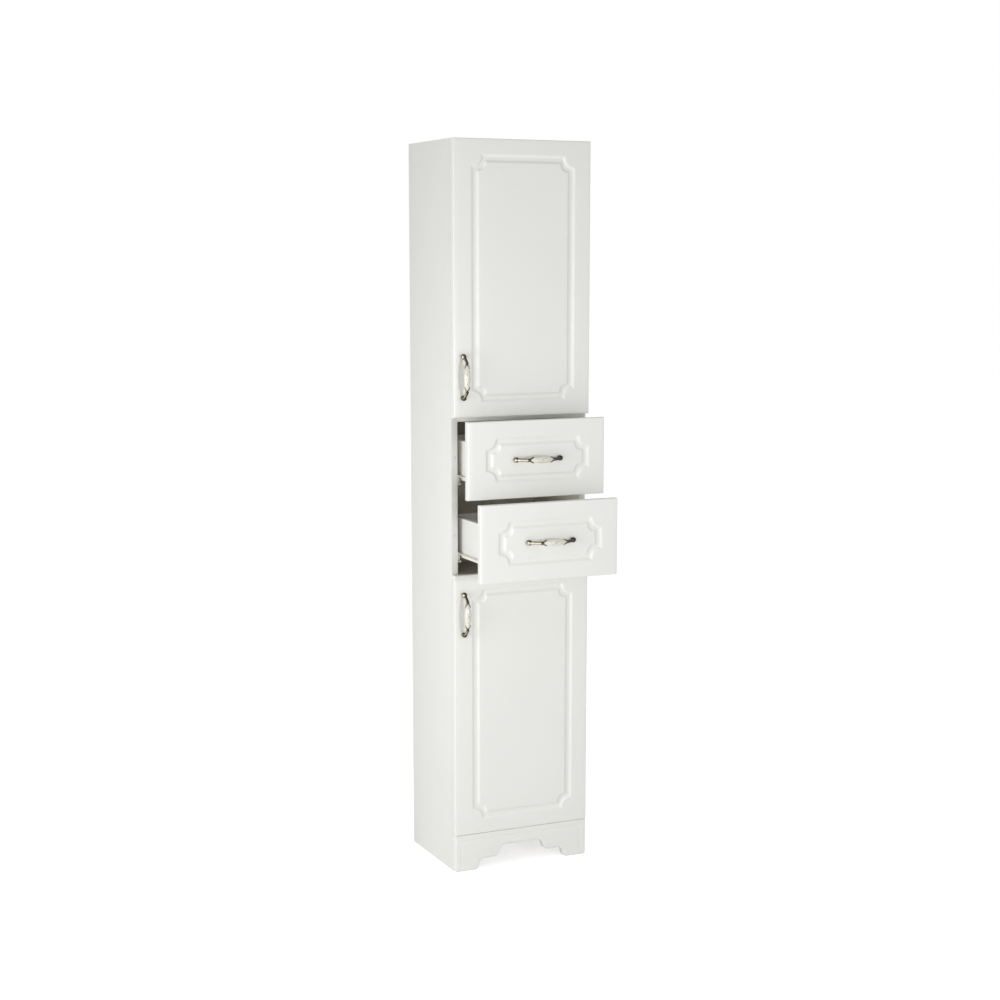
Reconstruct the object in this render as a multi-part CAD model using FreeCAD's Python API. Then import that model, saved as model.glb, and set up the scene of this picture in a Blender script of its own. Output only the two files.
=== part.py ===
"""Tall bathroom cabinet: two doors, two drawers between them, a shaped plinth and four bow handles.

Frame: +Z up, the fronts face -Y, X = 0 is the middle of the width. Y = 0 is the plane of the carcass boards'
rear edges and Z = 0 is the floor. Millimetres. The two drawers stand part way out.
"""
import FreeCAD
import Part
import math
import os
from FreeCAD import Vector

os.makedirs("parts", exist_ok=True)

# ---------------------------------------------------------------- driving dimensions: carcass
width = 350.0
carcass_depth = 252.0
board = 16.0
back_thickness = 3.0
back_inset = 1.5
plinth_height = 89.5
plinth_gap = 1.5
lower_door_height = 634.0
drawer_front_height = 180.0
upper_door_height = 634.0
front_gap = 3.0
lower_divider_drop = 15.0
front_thickness = 16.0
front_stand_off = 1.2
front_edge_round = 3.0
seat_clearance = 0.3

# driving dimensions: routed frame on each front, measured from the front's edges to the outer line of the groove
frame_side_margin = 42.0
door_frame_end_margin = 34.0
drawer_frame_end_margin = 37.0
groove_width = 20.0
groove_depth = 4.0
groove_wall_run = 7.0
corner_shoulder = 5.0
corner_radius = 20.0
inner_shoulder = 1.0
outer_floor_radius = 23.0
field_floor_radius = 20.0
field_corner_radius = 18.0

# driving dimensions: plinth, half of its symmetric lower edge
foot_half_span = 122.0
ledge_height = 26.5
ledge_outer = 102.0
ledge_inner = 70.0
arch_height = 54.0
arch_half_span = 46.0
ogee_bulge = 2.4
foot_corner_round = 5.0
plinth_line_margin = 13.0
plinth_line_width = 3.0
plinth_line_depth = 0.8
plinth_block_side = 18.0
plinth_block_lift = 12.0

# driving dimensions: loose shelves and their supports
shelf_set_back = 20.0
shelf_side_clearance = 0.5
shelf_rear_clearance = 0.7
upper_shelf_rises = (198.0, 406.0)
lower_shelf_rise = 298.0
support_row_pitch = 32.0
support_front_row = 37.0
support_rear_row = 42.0
support_bore_radius = 2.5
support_bore_depth = 9.0
support_peg_length = 8.0
support_peg_clearance = 0.1
support_reach = 8.0
support_height = 9.0
support_width = 9.0
support_tip = 2.0

# driving dimensions: drawer boxes and roller runners
upper_drawer_out = 80.0
lower_drawer_out = 150.0
drawer_side_rise = 37.0
drawer_side_height = 91.0
drawer_board = 16.0
drawer_box_length = 245.0
drawer_bottom_thickness = 3.0
drawer_bottom_rise = 10.0
groove_for_bottom_depth = 6.0
bottom_clearance = 0.1
runner_space = 13.0
runner_sheet = 1.2
runner_end_clearance = 0.5
channel_reach = 8.0
channel_lip = 2.4
rail_foot_reach = 11.0
channel_floor_drop = 10.0
roller_radius = 8.5
roller_width = 3.6
roller_axle_radius = 2.0
roller_wall_clearance = 1.6
roller_end_inset = 10.5
rail_side_clearance = 1.2
channel_head_clearance = 0.6

# driving dimensions: concealed hinges
hinge_from_end = 100.0
cup_from_edge = 22.0
cup_radius = 17.5
cup_bore_depth = 12.0
cup_bore_clearance = 0.1
cup_wall = 1.0
cup_depth = 11.5
flange_sheet = 0.8
flange_ear_offset = 24.0
flange_ear_radius = 7.5
pivot_from_edge = 3.4
pivot_from_face = 8.0
arm_length = 62.0
arm_width = 11.0
arm_height = 9.5
arm_nose_width = 9.0
arm_nose_reach = 10.0
arm_nose_thickness = 7.0
plate_thickness = 2.2
plate_hole_pitch = 32.0
plate_set_back = 37.0
plate_half_length = 22.0
plate_arm_half_width = 7.0
plate_ear_radius = 8.0
plate_wing_half_width = 6.0
plate_screw_radius = 2.0
plate_screw_length = 12.0
plate_screw_head_radius = 3.6
plate_screw_head_height = 1.6
link_sheet = 1.2
link_clearance = 0.5
link_width = 4.6
link_pin_radius = 1.2

# driving dimensions: bow handles
door_handle_pitch = 96.0
drawer_handle_pitch = 113.0
door_handle_inset = 22.0
door_handle_from_end = 94.0
grip_length = 44.0
grip_end_radius = 4.6
grip_middle_radius = 7.8
grip_stand_off = 26.0
handle_foot_radius = 4.4
ball_radius = 5.8
ball_height = 6.8
arm_rise = 2.7
arm_foot_half_width = 4.0
arm_waist_half_width = 3.2
arm_root_half_width = 3.5
fork_length = 9.0
fork_core_radius = 3.0
prong_length = 5.0
prong_thickness = 2.4
prong_clearance = 0.4
handle_screw_radius = 2.0
handle_hole_radius = 2.4
handle_screw_head_radius = 4.2
handle_screw_head_height = 2.4
handle_screw_grip = 5.0

# driving dimensions: bumpers and wall brackets
bumper_radius = 4.0
bumper_from_end = 45.0
bracket_offset = 100.0
bracket_width = 30.0
bracket_leg = 36.0
bracket_sheet = 2.0
bracket_hole_radius = 3.0
bracket_hole_drop = 22.0

# ---------------------------------------------------------------- levels and planes that follow from them
half = width / 2
inner = half - board
front_plane = -carcass_depth
front_back_y = front_plane - front_stand_off
front_face_y = front_back_y - front_thickness
lower_door_z = plinth_height + plinth_gap
lower_front_z = lower_door_z + lower_door_height + front_gap
upper_front_z = lower_front_z + drawer_front_height + front_gap
upper_door_z = upper_front_z + drawer_front_height + front_gap
total_height = upper_door_z + upper_door_height
bottom_z = plinth_height
lower_divider_z = lower_front_z - front_gap - lower_divider_drop - board
upper_divider_z = upper_door_z - front_gap / 2 - board / 2


# ---------------------------------------------------------------- shaping helpers
def box(x0, x1, y0, y1, z0, z1):
    """A box between two corners."""
    return Part.makeBox(x1 - x0, y1 - y0, z1 - z0, Vector(x0, y0, z0))


def closed_face(edges):
    return Part.Face(Part.Wire(edges))


def polygon(points):
    return Part.makePolygon(list(points) + [points[0]])


def extruded(points, direction):
    """A polygon's face carried along a direction."""
    return Part.Face(polygon(points)).extrude(direction)


def rod(radius, start, end):
    """A round bar between two points."""
    along = end - start
    return Part.makeCylinder(radius, along.Length, start, along)


def skinned(rings):
    """A flat-faced solid through rings of corners, each ring with the same number of corners."""
    faces = [Part.Face(polygon(rings[0])), Part.Face(polygon(rings[-1]))]
    for low, high in zip(rings, rings[1:]):
        for i in range(len(low)):
            j = (i + 1) % len(low)
            faces.append(Part.Face(polygon([low[i], low[j], high[j], high[i]])))
    solid = Part.Solid(Part.Shell(faces))
    if solid.Volume < 0:
        solid.reverse()
    return solid


def turned(stations, start, direction, sides):
    """A small turned piece with flats, through rings of the given (distance, radius) along an axis."""
    along = Vector(direction).normalize()
    across = along.cross(Vector(0, 0, 1)) if abs(along.z) < 0.9 else Vector(1, 0, 0)
    other = along.cross(across)
    rings = []
    for distance, radius in stations:
        centre = start + along * distance
        corners = []
        for i in range(sides):
            turn = 2 * math.pi * (i + 0.5) / sides
            corners.append(centre + across * (radius * math.cos(turn)) + other * (radius * math.sin(turn)))
        rings.append(corners)
    return skinned(rings)


def pin(radius, start, end):
    """An eight-sided bar between two points, for pegs, screws and axles and for the small bores they lie in."""
    along = end - start
    return turned([(0, radius), (along.Length, radius)], start, along, 8)


def tapered_bar(stations):
    """A bar through rectangles square to X: each station is (x, y, z, half height in y, half width in z)."""
    rings = []
    for x, y, z, half_y, half_z in stations:
        corners = [(-half_y, -half_z), (half_y, -half_z), (half_y, half_z), (-half_y, half_z)]
        rings.append([Vector(x, y + dy, z + dz) for dy, dz in corners])
    return skinned(rings)


def mirrored(shape):
    """The same piece on the other side of the cabinet."""
    return shape.mirror(Vector(0, 0, 0), Vector(1, 0, 0))


def moved(shape, x=0.0, y=0.0, z=0.0):
    copy = shape.copy()
    copy.translate(Vector(x, y, z))
    return copy


nodes = {}


def keep(name, *shapes):
    """Files solids under a node's name."""
    nodes.setdefault(name, []).extend(shapes)


# ---------------------------------------------------------------- routed fronts
def notched_outline(half_x, half_z, shoulder, radius, y):
    """Edges of a rectangle about the origin whose corners are cut by concave quarter rounds with square shoulders."""
    notch = shoulder + radius
    slant = radius * math.sqrt(0.5)
    runs = []
    for sx, sz in ((1, 1), (-1, 1), (-1, -1), (1, -1)):
        run = [Vector(sx * half_x, y, sz * (half_z - notch)),
               Vector(sx * (half_x - shoulder), y, sz * (half_z - notch)),
               Vector(sx * (half_x - shoulder - slant), y, sz * (half_z - shoulder - slant)),
               Vector(sx * (half_x - notch), y, sz * (half_z - shoulder)),
               Vector(sx * (half_x - notch), y, sz * half_z)]
        if sx * sz < 0:
            run.reverse()
        runs.append(run)
    edges = []
    for run, following in zip(runs, runs[1:] + runs[:1]):
        edges.append(Part.makeLine(run[0], run[1]))
        edges.append(Part.Arc(run[1], run[2], run[3]).toShape())
        edges.append(Part.makeLine(run[3], run[4]))
        edges.append(Part.makeLine(run[4], following[0]))
    return edges


def sloped(top, floor):
    """A solid between two outlines of matching edges: flat between straight edges and ruled between arcs."""
    faces = [closed_face(top), closed_face(floor)]
    for a, b in zip(top, floor):
        if isinstance(a.Curve, Part.Line):
            ends = [e.valueAt(t) for e, t in ((a, a.FirstParameter), (a, a.LastParameter),
                                              (b, b.LastParameter), (b, b.FirstParameter))]
            faces.append(Part.Face(polygon(ends)))
        else:
            faces.append(Part.makeRuledSurface(a, b))
    solid = Part.Solid(Part.Shell(faces))
    if solid.Volume < 0:
        solid.reverse()
    return solid


def routed_groove(front_height, end_margin):
    """The ring that the router takes out of a front, about the front's centre, with sloping walls and a flat floor."""
    half_x = half - frame_side_margin
    half_z = front_height / 2 - end_margin
    floor_y = front_face_y + groove_depth
    run = groove_wall_run
    inset = groove_width - run
    outer_top = notched_outline(half_x, half_z, corner_shoulder, corner_radius, front_face_y)
    outer_floor = notched_outline(half_x - run, half_z - run, inner_shoulder, outer_floor_radius, floor_y)
    field_floor = notched_outline(half_x - inset, half_z - inset, inner_shoulder, field_floor_radius, floor_y)
    field_top = notched_outline(half_x - groove_width, half_z - groove_width, inner_shoulder,
                                field_corner_radius, front_face_y)
    return sloped(outer_top, outer_floor).cut(sloped(field_top, field_floor))


def routed_front(bottom, front_height, end_margin, handle_holes):
    """A front board with rounded face edges, the routed frame and the handle's two holes."""
    front = box(-half, half, front_face_y, front_back_y, bottom, bottom + front_height)
    face_edges = [e for e in front.Edges if abs(e.CenterOfMass.y - front_face_y) < 0.01]
    front = front.makeFillet(front_edge_round, face_edges)
    front = front.cut(moved(routed_groove(front_height, end_margin), z=bottom + front_height / 2))
    for x, z in handle_holes:
        front = front.cut(pin(handle_hole_radius, Vector(x, front_face_y - 1, z), Vector(x, front_back_y + 1, z)))
    return front


# ---------------------------------------------------------------- bow handles
def grip_radius(distance):
    """The ceramic grip's radius at a distance from its middle: a barrel drawn in towards its ends."""
    share = distance / (grip_length / 2)
    return grip_end_radius + (grip_middle_radius - grip_end_radius) * (1 - share ** 2)


def handle_end(pitch):
    """One metal end: a ball foot on the front, an arm that rises to the grip and a fork that holds the grip."""
    foot = Vector(pitch / 2, 0, 0)
    shoulder = ball_radius * 0.6
    ball = turned(
        [(0, handle_foot_radius), (1.0, handle_foot_radius), (ball_height - shoulder, ball_radius * 0.8),
         (ball_height, ball_radius), (ball_height + shoulder, ball_radius * 0.8),
         (ball_height + ball_radius, ball_radius * 0.3)],
        foot, Vector(0, -1, 0), 10)
    grip_end = grip_length / 2
    root = grip_end + fork_length
    rise = grip_stand_off - ball_height
    run = pitch / 2 - root
    arm = tapered_bar([
        (pitch / 2, -ball_height, 0, arm_rise, arm_foot_half_width),
        (pitch / 2 - run * 0.35, -ball_height - rise * 0.5, 0, arm_rise, arm_waist_half_width),
        (root, -grip_stand_off, 0, arm_rise, arm_root_half_width)])
    core = turned([(0, fork_core_radius), (fork_length, fork_core_radius * 0.8)],
                  Vector(grip_end, -grip_stand_off, 0), Vector(1, 0, 0), 8)
    half_bar = prong_thickness / 2
    prongs = []
    for side in (1, -1):
        stations = [(root + 1.0, -grip_stand_off, side * half_bar, half_bar, half_bar)]
        for place in (grip_end + 1.0, grip_end - prong_length):
            reach = grip_radius(min(place, grip_end)) + half_bar + prong_clearance
            stations.append((place, -grip_stand_off, side * reach, half_bar, half_bar))
        prongs.append(tapered_bar(stations))
    return ball.fuse([arm, core] + prongs)


def grip_barrel():
    """The ceramic barrel between the two metal ends."""
    steps = (-1.0, -0.75, -0.4, 0.0, 0.4, 0.75, 1.0)
    rings = [(grip_length / 2 * (1 + s), grip_radius(abs(s) * grip_length / 2)) for s in steps]
    return turned(rings, Vector(-grip_length / 2, -grip_stand_off, 0), Vector(1, 0, 0), 14)


def handle_screw(x):
    """A screw from behind the front into a metal end."""
    at = Vector(x, front_thickness, 0)
    head = turned([(0, handle_screw_head_radius), (handle_screw_head_height, handle_screw_head_radius * 0.6)],
                  at, Vector(0, 1, 0), 8)
    return head.fuse(pin(handle_screw_radius, at, Vector(x, -handle_screw_grip, 0)))


def handle(pitch, x, z, upright):
    """A whole handle on a front: metal ends, grip and screws, each a list of solids."""
    socket = pin(handle_screw_radius + support_peg_clearance, Vector(pitch / 2, 1, 0),
                 Vector(pitch / 2, -handle_screw_grip - seat_clearance, 0))
    end = handle_end(pitch).cut(socket)
    placed = []
    for group in ([end, mirrored(end)], [grip_barrel()], [handle_screw(pitch / 2), handle_screw(-pitch / 2)]):
        if upright:
            for shape in group:
                shape.rotate(Vector(0, 0, 0), Vector(0, 1, 0), 90)
        placed.append([moved(shape, x, front_face_y, z) for shape in group])
    return placed


def handle_holes(pitch, x, z, upright):
    """The two hole centres that a handle needs in its front."""
    return [(x, z + s * pitch / 2) if upright else (x + s * pitch / 2, z) for s in (1, -1)]


# ---------------------------------------------------------------- carcass boards
def support_bores(rests):
    """The bores for shelf supports in one side: two positions for each shelf, front and rear."""
    bores = []
    for rest in rests:
        for step in (0, 1):
            z = rest - support_bore_radius - support_peg_clearance + step * support_row_pitch
            for y in (front_plane + support_front_row, -support_rear_row):
                bores.append(pin(support_bore_radius, Vector(inner - 1, y, z),
                                 Vector(inner + support_bore_depth, y, z)))
    return bores


shelf_rests = [upper_divider_z + board + rise for rise in upper_shelf_rises]
shelf_rests.append(bottom_z + board + lower_shelf_rise)
side = box(inner, half, front_plane, 0, 0, total_height)
side_right = side.cut(Part.makeCompound(support_bores(shelf_rests)))
side_left = mirrored(side_right)

for name, z in (("bottom_panel", bottom_z), ("lower_divider", lower_divider_z),
                ("upper_divider", upper_divider_z), ("top_panel", total_height - board)):
    keep(name, box(-inner, inner, front_plane, 0, z, z + board))

bracket_hole_z = total_height - board - bracket_hole_drop
back_panel = box(back_inset - half, half - back_inset, 0, back_thickness,
                 bottom_z + back_inset, total_height - back_inset)
for x in (-bracket_offset, bracket_offset):
    hole = rod(bracket_hole_radius, Vector(x, -1, bracket_hole_z), Vector(x, back_thickness + 1, bracket_hole_z))
    back_panel = back_panel.cut(hole)
keep("back_panel", back_panel)
keep("rear_rail", box(-inner, inner, -board, 0, 0, bottom_z))

for name, rest in zip(("shelf_upper_low", "shelf_upper_high", "shelf_lower"), shelf_rests):
    reach = inner - shelf_side_clearance
    keep(name, box(-reach, reach, front_plane + shelf_set_back, -shelf_rear_clearance, rest, rest + board))


def shelf_support(y, rest):
    """A shelf support on the right side: a bracket with a flat top and a peg in the board's bore."""
    wall = inner
    tip = wall - support_reach
    front = y - support_width / 2
    profile = [(wall, rest), (tip, rest), (tip, rest - support_tip), (wall - support_tip, rest - support_height),
               (wall, rest - support_height)]
    bracket = extruded([Vector(x, front, z) for x, z in profile], Vector(0, support_width, 0))
    peg_z = rest - support_bore_radius - support_peg_clearance
    peg = pin(support_bore_radius - support_peg_clearance, Vector(wall, y, peg_z),
              Vector(wall + support_peg_length, y, peg_z))
    return bracket.fuse(peg)


for rest in shelf_rests:
    for y in (front_plane + support_front_row, -support_rear_row):
        support = shelf_support(y, rest)
        keep("shelf_supports", support, mirrored(support))


# ---------------------------------------------------------------- plinth
def ogee(start, end, bulge):
    """An S-curve of two equal arcs between two points of the plinth's lower edge."""
    middle = (start + end) * 0.5
    chord = middle - start
    normal = Vector(-chord.z, 0, chord.x).normalize() * bulge
    first = Part.Arc(start, (start + middle) * 0.5 + normal, middle).toShape()
    second = Part.Arc(middle, (middle + end) * 0.5 - normal, end).toShape()
    return [first, second]


def plinth_half_edge(y):
    """The lower edge from the right foot's outer corner to the middle of the arch."""
    foot_out = Vector(half, y, foot_corner_round)
    foot_low = Vector(half - foot_corner_round, y, 0)
    slant = foot_corner_round * (1 - math.sqrt(0.5))
    foot_mid = Vector(half - slant, y, slant)
    foot_in = Vector(foot_half_span, y, 0)
    ledge_a = Vector(ledge_outer, y, ledge_height)
    ledge_b = Vector(ledge_inner, y, ledge_height)
    arch_a = Vector(arch_half_span, y, arch_height)
    edges = [Part.Arc(foot_out, foot_mid, foot_low).toShape(), Part.makeLine(foot_low, foot_in)]
    edges += ogee(foot_in, ledge_a, ogee_bulge)
    edges.append(Part.makeLine(ledge_a, ledge_b))
    edges += ogee(ledge_b, arch_a, ogee_bulge)
    return edges, foot_out, arch_a


def plinth():
    """The shaped front board, with a fine routed line that follows its top and side edges."""
    y = front_plane - front_thickness
    edges, foot_out, arch = plinth_half_edge(y)
    other = [e.mirror(Vector(0, 0, 0), Vector(1, 0, 0)) for e in edges]
    top_right = Vector(half, y, plinth_height)
    top_left = Vector(-half, y, plinth_height)
    rim = [Part.makeLine(arch, Vector(-arch.x, y, arch.z)), Part.makeLine(foot_out, top_right),
           Part.makeLine(top_right, top_left), Part.makeLine(top_left, Vector(-half, y, foot_out.z))]
    outline = Part.Wire(Part.__sortEdges__(edges + other + rim))
    solid = Part.Face(outline).extrude(Vector(0, front_thickness, 0))
    out = half - plinth_line_margin
    top = plinth_height - plinth_line_margin
    line = box(-out, out, y - 1, y + plinth_line_depth, -1, top)
    line = line.cut(box(plinth_line_width - out, out - plinth_line_width, y - 2, y + 2, -2, top - plinth_line_width))
    return solid.cut(line)


keep("front_plinth", plinth())
block_top = bottom_z
block = box(inner - plinth_block_side, inner, front_plane, front_plane + plinth_block_side,
            plinth_block_lift, block_top)
keep("plinth_blocks", block, mirrored(block))


# ---------------------------------------------------------------- concealed hinges, all on the right side
cup_x = half - cup_from_edge
pivot_x = half - pivot_from_edge
pivot_y = front_face_y + pivot_from_face


def hinge_cup(z):
    """A pressed cup with its flange: the cup lies in the door's bore and the flange on the door's inner face."""
    mouth = front_back_y
    outer = cup_radius - cup_bore_clearance
    shell = turned([(0, outer), (cup_depth, outer)], Vector(cup_x, mouth, z), Vector(0, -1, 0), 20)
    rim = turned([(0, cup_radius + 0.8), (flange_sheet, cup_radius + 0.8)], Vector(cup_x, mouth, z),
                 Vector(0, 1, 0), 20)
    ears = [turned([(0, flange_ear_radius), (flange_sheet, flange_ear_radius)],
                   Vector(cup_x - flange_ear_radius, mouth, z + s * flange_ear_offset), Vector(0, 1, 0), 12)
            for s in (1, -1)]
    strap = box(cup_x - 2 * flange_ear_radius, cup_x, mouth, mouth + flange_sheet,
                z - flange_ear_offset, z + flange_ear_offset)
    hollow = turned([(0, outer - cup_wall), (flange_sheet + 1 + cup_depth - cup_wall, outer - cup_wall)],
                    Vector(cup_x, mouth + flange_sheet + 1, z), Vector(0, -1, 0), 20)
    return shell.fuse(ears + [strap, rim]).cut(hollow).removeSplitter()


def hinge_links(z):
    """The two side links that reach from the cup's pin towards the arm, with their pin."""
    mouth = front_back_y
    floor = mouth - cup_depth + cup_wall + seat_clearance
    pin_x = cup_x - cup_radius / 2
    pin_y = floor + link_width / 2
    inside = arm_nose_width / 2 + link_clearance
    cup_inside = cup_radius - cup_bore_clearance - cup_wall
    tip_x = cup_x + math.sqrt(cup_inside ** 2 - (inside + link_sheet) ** 2) - link_clearance
    plates = []
    outline = [Vector(pin_x - 2.0, floor, 0), Vector(pin_x + 4.5, floor, 0), Vector(tip_x - 0.4, mouth - 3.0, 0),
               Vector(tip_x, mouth, 0), Vector(tip_x - link_width, mouth, 0),
               Vector(pin_x - 2.0, floor + link_width, 0)]
    for low in (z + inside, z - inside - link_sheet):
        plate = extruded([p + Vector(0, 0, low) for p in outline], Vector(0, 0, link_sheet))
        plates.append(plate)
    reach = math.sqrt(cup_inside ** 2 - (cup_x - pin_x) ** 2) - 1.4
    cross_pin = pin(link_pin_radius, Vector(pin_x, pin_y, z - reach), Vector(pin_x, pin_y, z + reach))
    return plates[0].fuse([plates[1], cross_pin])


def hinge_arm(z):
    """The arm on its mounting plate, with a narrower nose that reaches into the cup."""
    seat = inner - plate_thickness
    back = front_plane + arm_length
    nose_tip = front_back_y - arm_nose_reach + 1.5
    body = extruded([Vector(seat, front_plane + 2.0, 0), Vector(seat, back, 0),
                     Vector(seat - arm_height + 3.0, back, 0), Vector(seat - arm_height, back - 6.0, 0),
                     Vector(seat - arm_height, front_plane + 2.0, 0)], Vector(0, 0, arm_width))
    body.translate(Vector(0, 0, z - arm_width / 2))
    nose_out = inner - 0.7
    nose = extruded([Vector(seat, front_plane + 2.0, 0), Vector(nose_out, front_plane - 2.0, 0),
                     Vector(nose_out, nose_tip + 2.0, 0), Vector(nose_out - 2.0, nose_tip, 0),
                     Vector(nose_out - arm_nose_thickness, nose_tip, 0),
                     Vector(seat - arm_height, front_plane - 1.0, 0),
                     Vector(seat - arm_height, front_plane + 2.0, 0)], Vector(0, 0, arm_nose_width))
    nose.translate(Vector(0, 0, z - arm_nose_width / 2))
    return body.fuse(nose).removeSplitter()


def hinge_plate(z):
    """The mounting plate on the side's inner face: a bar under the arm and two eared wings with screw holes."""
    line = front_plane + plate_set_back
    seat = inner - plate_thickness
    bar = box(seat, inner, line - plate_half_length, line + plate_half_length,
              z - plate_arm_half_width, z + plate_arm_half_width)
    reach = plate_hole_pitch / 2
    ears = [turned([(0, plate_ear_radius), (plate_thickness, plate_ear_radius)],
                   Vector(seat, line, z + s * reach), Vector(1, 0, 0), 8) for s in (1, -1)]
    holes = [pin(plate_screw_radius + support_peg_clearance, Vector(seat - 1, line, z + s * reach),
                 Vector(inner + 1, line, z + s * reach)) for s in (1, -1)]
    wing = box(seat, inner, line - plate_wing_half_width, line + plate_wing_half_width, z - reach, z + reach)
    return bar.fuse(ears + [wing]).removeSplitter().cut(Part.makeCompound(holes))


def plate_screws(z):
    """The two screws of one mounting plate, heads on the plate."""
    screws = []
    for s in (1, -1):
        at = Vector(inner - plate_thickness, front_plane + plate_set_back, z + s * plate_hole_pitch / 2)
        head = turned([(0, plate_screw_head_radius), (plate_screw_head_height, plate_screw_head_radius * 0.6)],
                      at, Vector(-1, 0, 0), 8)
        screws.append(head.fuse(pin(plate_screw_radius, at, at + Vector(plate_screw_length, 0, 0))))
    return screws


def hinge_levels(bottom, front_height):
    return (bottom + hinge_from_end, bottom + front_height - hinge_from_end)


# ---------------------------------------------------------------- doors
side_screw_bores = []
for door, bottom, door_height, handle_from_low in (
        ("upper_door", upper_door_z, upper_door_height, door_handle_from_end),
        ("lower_door", lower_door_z, lower_door_height, lower_door_height - door_handle_from_end)):
    handle_x = door_handle_inset - half
    handle_z = bottom + handle_from_low
    holes = handle_holes(door_handle_pitch, handle_x, handle_z, True)
    front = routed_front(bottom, door_height, door_frame_end_margin, holes)
    for z in hinge_levels(bottom, door_height):
        front = front.cut(rod(cup_radius, Vector(cup_x, front_back_y + 1, z),
                              Vector(cup_x, front_back_y - cup_bore_depth, z)))
        keep(door + "_hinge_cups", hinge_cup(z))
        keep(door + "_hinge_links", hinge_links(z))
        keep("hinge_arms", hinge_arm(z))
        keep("hinge_plates", hinge_plate(z))
        keep("hinge_plate_screws", *plate_screws(z))
        for s in (1, -1):
            at = Vector(inner - 1, front_plane + plate_set_back, z + s * plate_hole_pitch / 2)
            side_screw_bores.append(pin(plate_screw_radius + support_peg_clearance, at,
                                        at + Vector(plate_screw_length, 0, 0)))
    keep(door, front)
    ends, grip, screws = handle(door_handle_pitch, handle_x, handle_z, True)
    keep(door + "_handle_ends", *ends)
    keep(door + "_handle_grip", *grip)
    keep(door + "_handle_screws", *screws)

keep("side_panel_right", side_right.cut(Part.makeCompound(side_screw_bores)))
keep("side_panel_left", side_left)


# ---------------------------------------------------------------- drawers and their runners
def runner_profile(corners, y0, y1, rise):
    """A folded sheet profile on the left side, extruded along the drawer's travel. Corners are (from wall, height)."""
    points = [Vector(-inner + u, y0, rise + w) for u, w in corners]
    return extruded(points, Vector(0, y1 - y0, 0))


channel_floor = -channel_floor_drop
roller_centre = channel_floor + roller_radius + seat_clearance
rail_head = roller_centre + roller_radius + seat_clearance
channel_head = rail_head + runner_sheet + channel_head_clearance


def cabinet_channel(rise):
    """The channel screwed to the side: a web with a floor, a head and a small lip that keeps the roller in."""
    t = runner_sheet
    corners = [(0, channel_floor - t), (channel_reach, channel_floor - t), (channel_reach, channel_floor + channel_lip),
               (channel_reach - t, channel_floor + channel_lip), (channel_reach - t, channel_floor),
               (t, channel_floor), (t, channel_head), (channel_reach, channel_head),
               (channel_reach, channel_head + t), (0, channel_head + t)]
    return runner_profile(corners, front_plane + runner_end_clearance, -runner_end_clearance, rise)


def drawer_rail(rise, y0, y1):
    """The rail on the drawer's side: a foot under the board, a web beside it and a head that rides on the roller."""
    t = runner_sheet
    web = runner_space - t
    head_edge = t + rail_side_clearance
    corners = [(runner_space + rail_foot_reach, -t), (runner_space + rail_foot_reach, 0), (runner_space, 0),
               (runner_space, rail_head + t), (head_edge, rail_head + t), (head_edge, rail_head),
               (web, rail_head), (web, -t)]
    return runner_profile(corners, y0, y1, rise)


def roller(y, rise, axle_from, axle_to):
    """A roller on its axle, turned with flats. The roller lies between the channel's web and lip."""
    near = runner_sheet + roller_wall_clearance
    wheel = turned([(0, roller_radius), (roller_width, roller_radius)], Vector(-inner + near, y, rise + roller_centre),
                   Vector(1, 0, 0), 16)
    axle = pin(roller_axle_radius, Vector(-inner + axle_from, y, rise + roller_centre),
               Vector(-inner + axle_to, y, rise + roller_centre))
    return wheel.fuse(axle)


box_half = inner - runner_space
box_inner = box_half - drawer_board
box_rear_y = front_back_y + drawer_box_length
for drawer, bottom, out in (("upper_drawer", upper_front_z, upper_drawer_out),
                            ("lower_drawer", lower_front_z, lower_drawer_out)):
    rise = bottom + drawer_side_rise
    top = rise + drawer_side_height
    middle_z = bottom + drawer_front_height / 2
    groove_low = rise + drawer_bottom_rise
    groove_high = groove_low + drawer_bottom_thickness + 2 * bottom_clearance
    deep = groove_for_bottom_depth
    back_front_y = box_rear_y - drawer_board
    left = box(-box_half, -box_inner, front_back_y, box_rear_y, rise, top)
    slot = box(-box_inner - deep, box_inner + deep, front_back_y, back_front_y + deep, groove_low, groove_high)
    left = left.cut(slot)
    back = box(-box_inner, box_inner, back_front_y, box_rear_y, rise, top).cut(slot)
    tongue = deep - seat_clearance
    base = box(-box_inner - tongue, box_inner + tongue, front_back_y, back_front_y + tongue,
               groove_low + bottom_clearance, groove_high - bottom_clearance)
    holes = handle_holes(drawer_handle_pitch, 0, middle_z, False)
    front = routed_front(bottom, drawer_front_height, drawer_frame_end_margin, holes)
    ends, grip, screws = handle(drawer_handle_pitch, 0, middle_z, False)
    rail = drawer_rail(rise, front_back_y, box_rear_y)
    rear_roller = roller(box_rear_y - roller_end_inset, rise, runner_sheet + roller_wall_clearance,
                         runner_space - runner_sheet)
    moving = {
        drawer + "_front": [front],
        drawer + "_side_left": [left],
        drawer + "_side_right": [mirrored(left)],
        drawer + "_back": [back],
        drawer + "_bottom": [base],
        drawer + "_rails": [rail, mirrored(rail)],
        drawer + "_rollers": [rear_roller, mirrored(rear_roller)],
        drawer + "_handle_ends": ends,
        drawer + "_handle_grip": grip,
        drawer + "_handle_screws": screws,
    }
    for name, shapes in moving.items():
        keep(name, *[moved(shape, y=-out) for shape in shapes])
    channel = cabinet_channel(rise)
    front_roller = roller(front_plane + roller_end_inset, rise, runner_sheet,
                          runner_sheet + roller_wall_clearance + roller_width)
    keep("runner_channels", channel, mirrored(channel))
    keep("channel_rollers", front_roller, mirrored(front_roller))


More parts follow.
